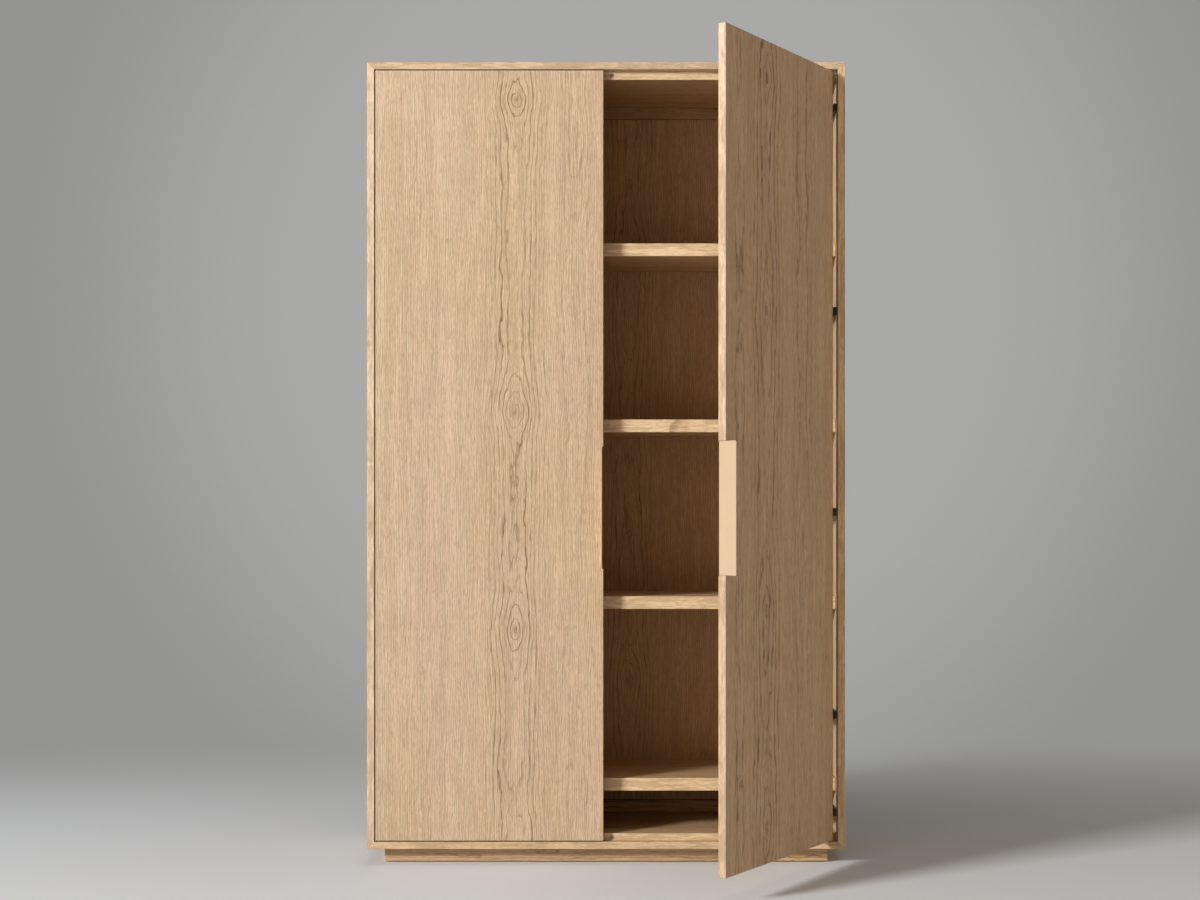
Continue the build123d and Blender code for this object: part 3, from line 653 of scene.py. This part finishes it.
# Points with an aim become a plain mesh of heads that rides on one body
def growHeads(name, body, tree, places, settings):
    mesh = bpy.data.meshes.new(name + "Points")
    mesh.from_pydata([place for place, aim in places], [], [])
    attribute = mesh.attributes.new("aim", "FLOAT_VECTOR", "POINT")
    for item, (place, aim) in zip(attribute.data, places):
        item.vector = aim
    grown = bpy.data.objects.new(name, mesh)
    scene.collection.objects.link(grown)
    modifier = grown.modifiers.new("heads", "NODES")
    modifier.node_group = tree
    for item in tree.interface.items_tree:
        if item.in_out == "INPUT" and item.name in settings:
            modifier[item.identifier] = settings[item.name]
    graph = bpy.context.evaluated_depsgraph_get()
    plain = bpy.data.meshes.new_from_object(grown.evaluated_get(graph))
    grown.modifiers.remove(modifier)
    grown.data = plain
    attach(grown, body)


headTree = screwHeadTree(finishes[screwHead["slot"]])
for side, turn in (("left", -1), ("right", 1)):
    backward = Matrix.Rotation(doorOpening(side) * turn, 3, "Z") @ Vector((0, 1, 0))
    faces = [farFace(points, backward) for points in solidsOf(side + "_cup_screws")]
    settings = {
        "Radius": min(radius for middle, radius in faces),
        "Dome": screwHead["dome"],
        "Sink": screwHead["sink"],
        "Recess Width": screwHead["recessWidth"],
        "Recess Reach": screwHead["recessReach"],
        "Sides": screwHead["sides"],
        "Rings": screwHead["rings"],
    }
    places = [(middle - backward * screwHead["sink"], backward) for middle, radius in faces]
    growHeads(side + "_cup_screw_heads", side + "_door", headTree, places, settings)
print("screw heads made")

studio = {
    "floorTone": (0.765, 0.780, 0.796),
    "floorShade": 0.98,  # the darker of the floor's two tones, as a share of the other
    "floorRoughness": 0.8,
    "floorGloss": 0.2,
    "floorReach": 60.0,
    "backdropDark": (0.298, 0.297, 0.292),
    "backdropLight": (0.398, 0.397, 0.392),
    "glowAxis": (0.02, 0.994, 0.107),  # the way to the middle of the backdrop's soft glow
    "glowEdge": (0.950, 0.990),  # cosines of the angles at which the glow ends and is full
    "ambient": (0.075, 0.074, 0.073),
    "poolShape": (0.55, 1.0, 0.0),  # the lit pool is an oval, wider than deep
    "poolShift": (-0.16, 0.90, 0.0),
    "poolEdge": (1.25, 3.4),  # where the lit floor melts into the backdrop
    "standpoint": (0.0, -4.95, 0.91),  # from here the floor and the world beyond it match
}


def seenRays(wire):  # camera, mirror and glass rays see the backdrop, the rest only its light
    camera = wire.node("ShaderNodeLightPath", out="Is Camera Ray")
    return strongest([camera, camera.sibling("Is Glossy Ray"), camera.sibling("Is Transmission Ray")])


def backdropTone(wire, direction):
    unit = wire.vectors("NORMALIZE", {0: direction})
    glow = wire.vectors("DOT_PRODUCT", {0: unit, 1: studio["glowAxis"]}, "Value")
    glow = glow.step(*studio["glowEdge"])
    return wire.tint(glow, rgba(studio["backdropDark"]), rgba(studio["backdropLight"]))


def floorMaterial():
    material, wire = newMaterial("studio_floor")
    place = wire.node("ShaderNodeTexCoord", out="Object")
    cloud = wire.noise(place, (3.0, 3.0, 3.0), (0.0, 0.0, 0.0), 2.0)
    shaded = [c * studio["floorShade"] for c in studio["floorTone"]]
    lit = wire.node("ShaderNodeBsdfPrincipled", None, {
        "Base Color": wire.tint(cloud, rgba(shaded), rgba(studio["floorTone"])),
        "Roughness": studio["floorRoughness"],
        "Specular IOR Level": studio["floorGloss"],
    })
    outward = wire.vectors("SUBTRACT", {0: place, 1: studio["standpoint"]})
    glow = wire.node("ShaderNodeEmission", None, {"Color": backdropTone(wire, outward), "Strength": 1.0})
    away = wire.vectors("MULTIPLY_ADD", {0: place, 1: studio["poolShape"], 2: studio["poolShift"]})
    radius = wire.vectors("LENGTH", {0: away}, "Value")
    fade = seenRays(wire) * radius.step(*studio["poolEdge"])
    floor = wire.node("ShaderNodeMixShader", None, {0: fade, 1: lit, 2: glow})
    wire.node("ShaderNodeOutputMaterial", None, {"Surface": floor})
    return material


def buildFloor():
    reach = studio["floorReach"]
    corners = [(-reach, -reach, 0), (reach, -reach, 0), (reach, reach, 0), (-reach, reach, 0)]
    mesh = bpy.data.meshes.new("floor")
    mesh.from_pydata(corners, [], [(0, 1, 2, 3)])
    mesh.materials.append(floorMaterial())
    floor = bpy.data.objects.new("floor", mesh)
    scene.collection.objects.link(floor)


def buildWorld():
    world = bpy.data.worlds.new("studio")
    world.use_nodes = True
    world.node_tree.nodes.clear()
    scene.world = world
    wire = Wire(world.node_tree)
    direction = wire.node("ShaderNodeTexCoord", out="Generated")
    colour = wire.tint(seenRays(wire), rgba(studio["ambient"]), backdropTone(wire, direction))
    shown = wire.node("ShaderNodeBackground", None, {"Color": colour, "Strength": 1.0})
    wire.node("ShaderNodeOutputWorld", None, {"Surface": shown})


lamps = {
    "key": {
        "place": (-7.31, -6.33, 3.91), "aim": (0.0, -0.2, 0.9),
        "size": 1.9, "power": 1085.0, "tone": (1.0, 1.0, 0.995),
    },
    "overhead": {
        "place": (0.0, -1.5, 6.0), "aim": (0.0, -0.4, 0.0),
        "size": 4.0, "power": 50.0, "tone": (1.0, 1.0, 1.0),
    },
    "fill": {
        "place": (5.4, -1.6, 2.3), "aim": (0.3, -0.3, 0.9),
        "size": 3.2, "power": 55.0, "tone": (1.0, 0.77, 0.53),
    },
}


def buildLamp(name, look):
    data = bpy.data.lights.new(name, "AREA")
    data.energy = look["power"]
    data.size = look["size"]
    data.color = look["tone"]
    lamp = bpy.data.objects.new(name, data)
    scene.collection.objects.link(lamp)
    lamp.location = look["place"]
    lookAlong = Vector(look["aim"]) - Vector(look["place"])
    lamp.rotation_euler = lookAlong.to_track_quat("-Z", "Y").to_euler()
    lamp.visible_camera = False


buildFloor()
buildWorld()
for name, look in lamps.items():
    buildLamp(name, look)
print("studio lit")

cameraSetup = {
    "place": (-0.0153, -4.951, 0.9087),  # level, square to the front of the cabinet
    "lens": 56.8,
    "shiftUp": 0.0441,
}
cameraData = bpy.data.cameras.new("camera")
cameraData.lens = cameraSetup["lens"]
cameraData.shift_y = cameraSetup["shiftUp"]
camera = bpy.data.objects.new("camera", cameraData)
scene.collection.objects.link(camera)
camera.location = cameraSetup["place"]
camera.rotation_euler = (math.radians(90), 0, 0)
scene.camera = camera
print("camera set")
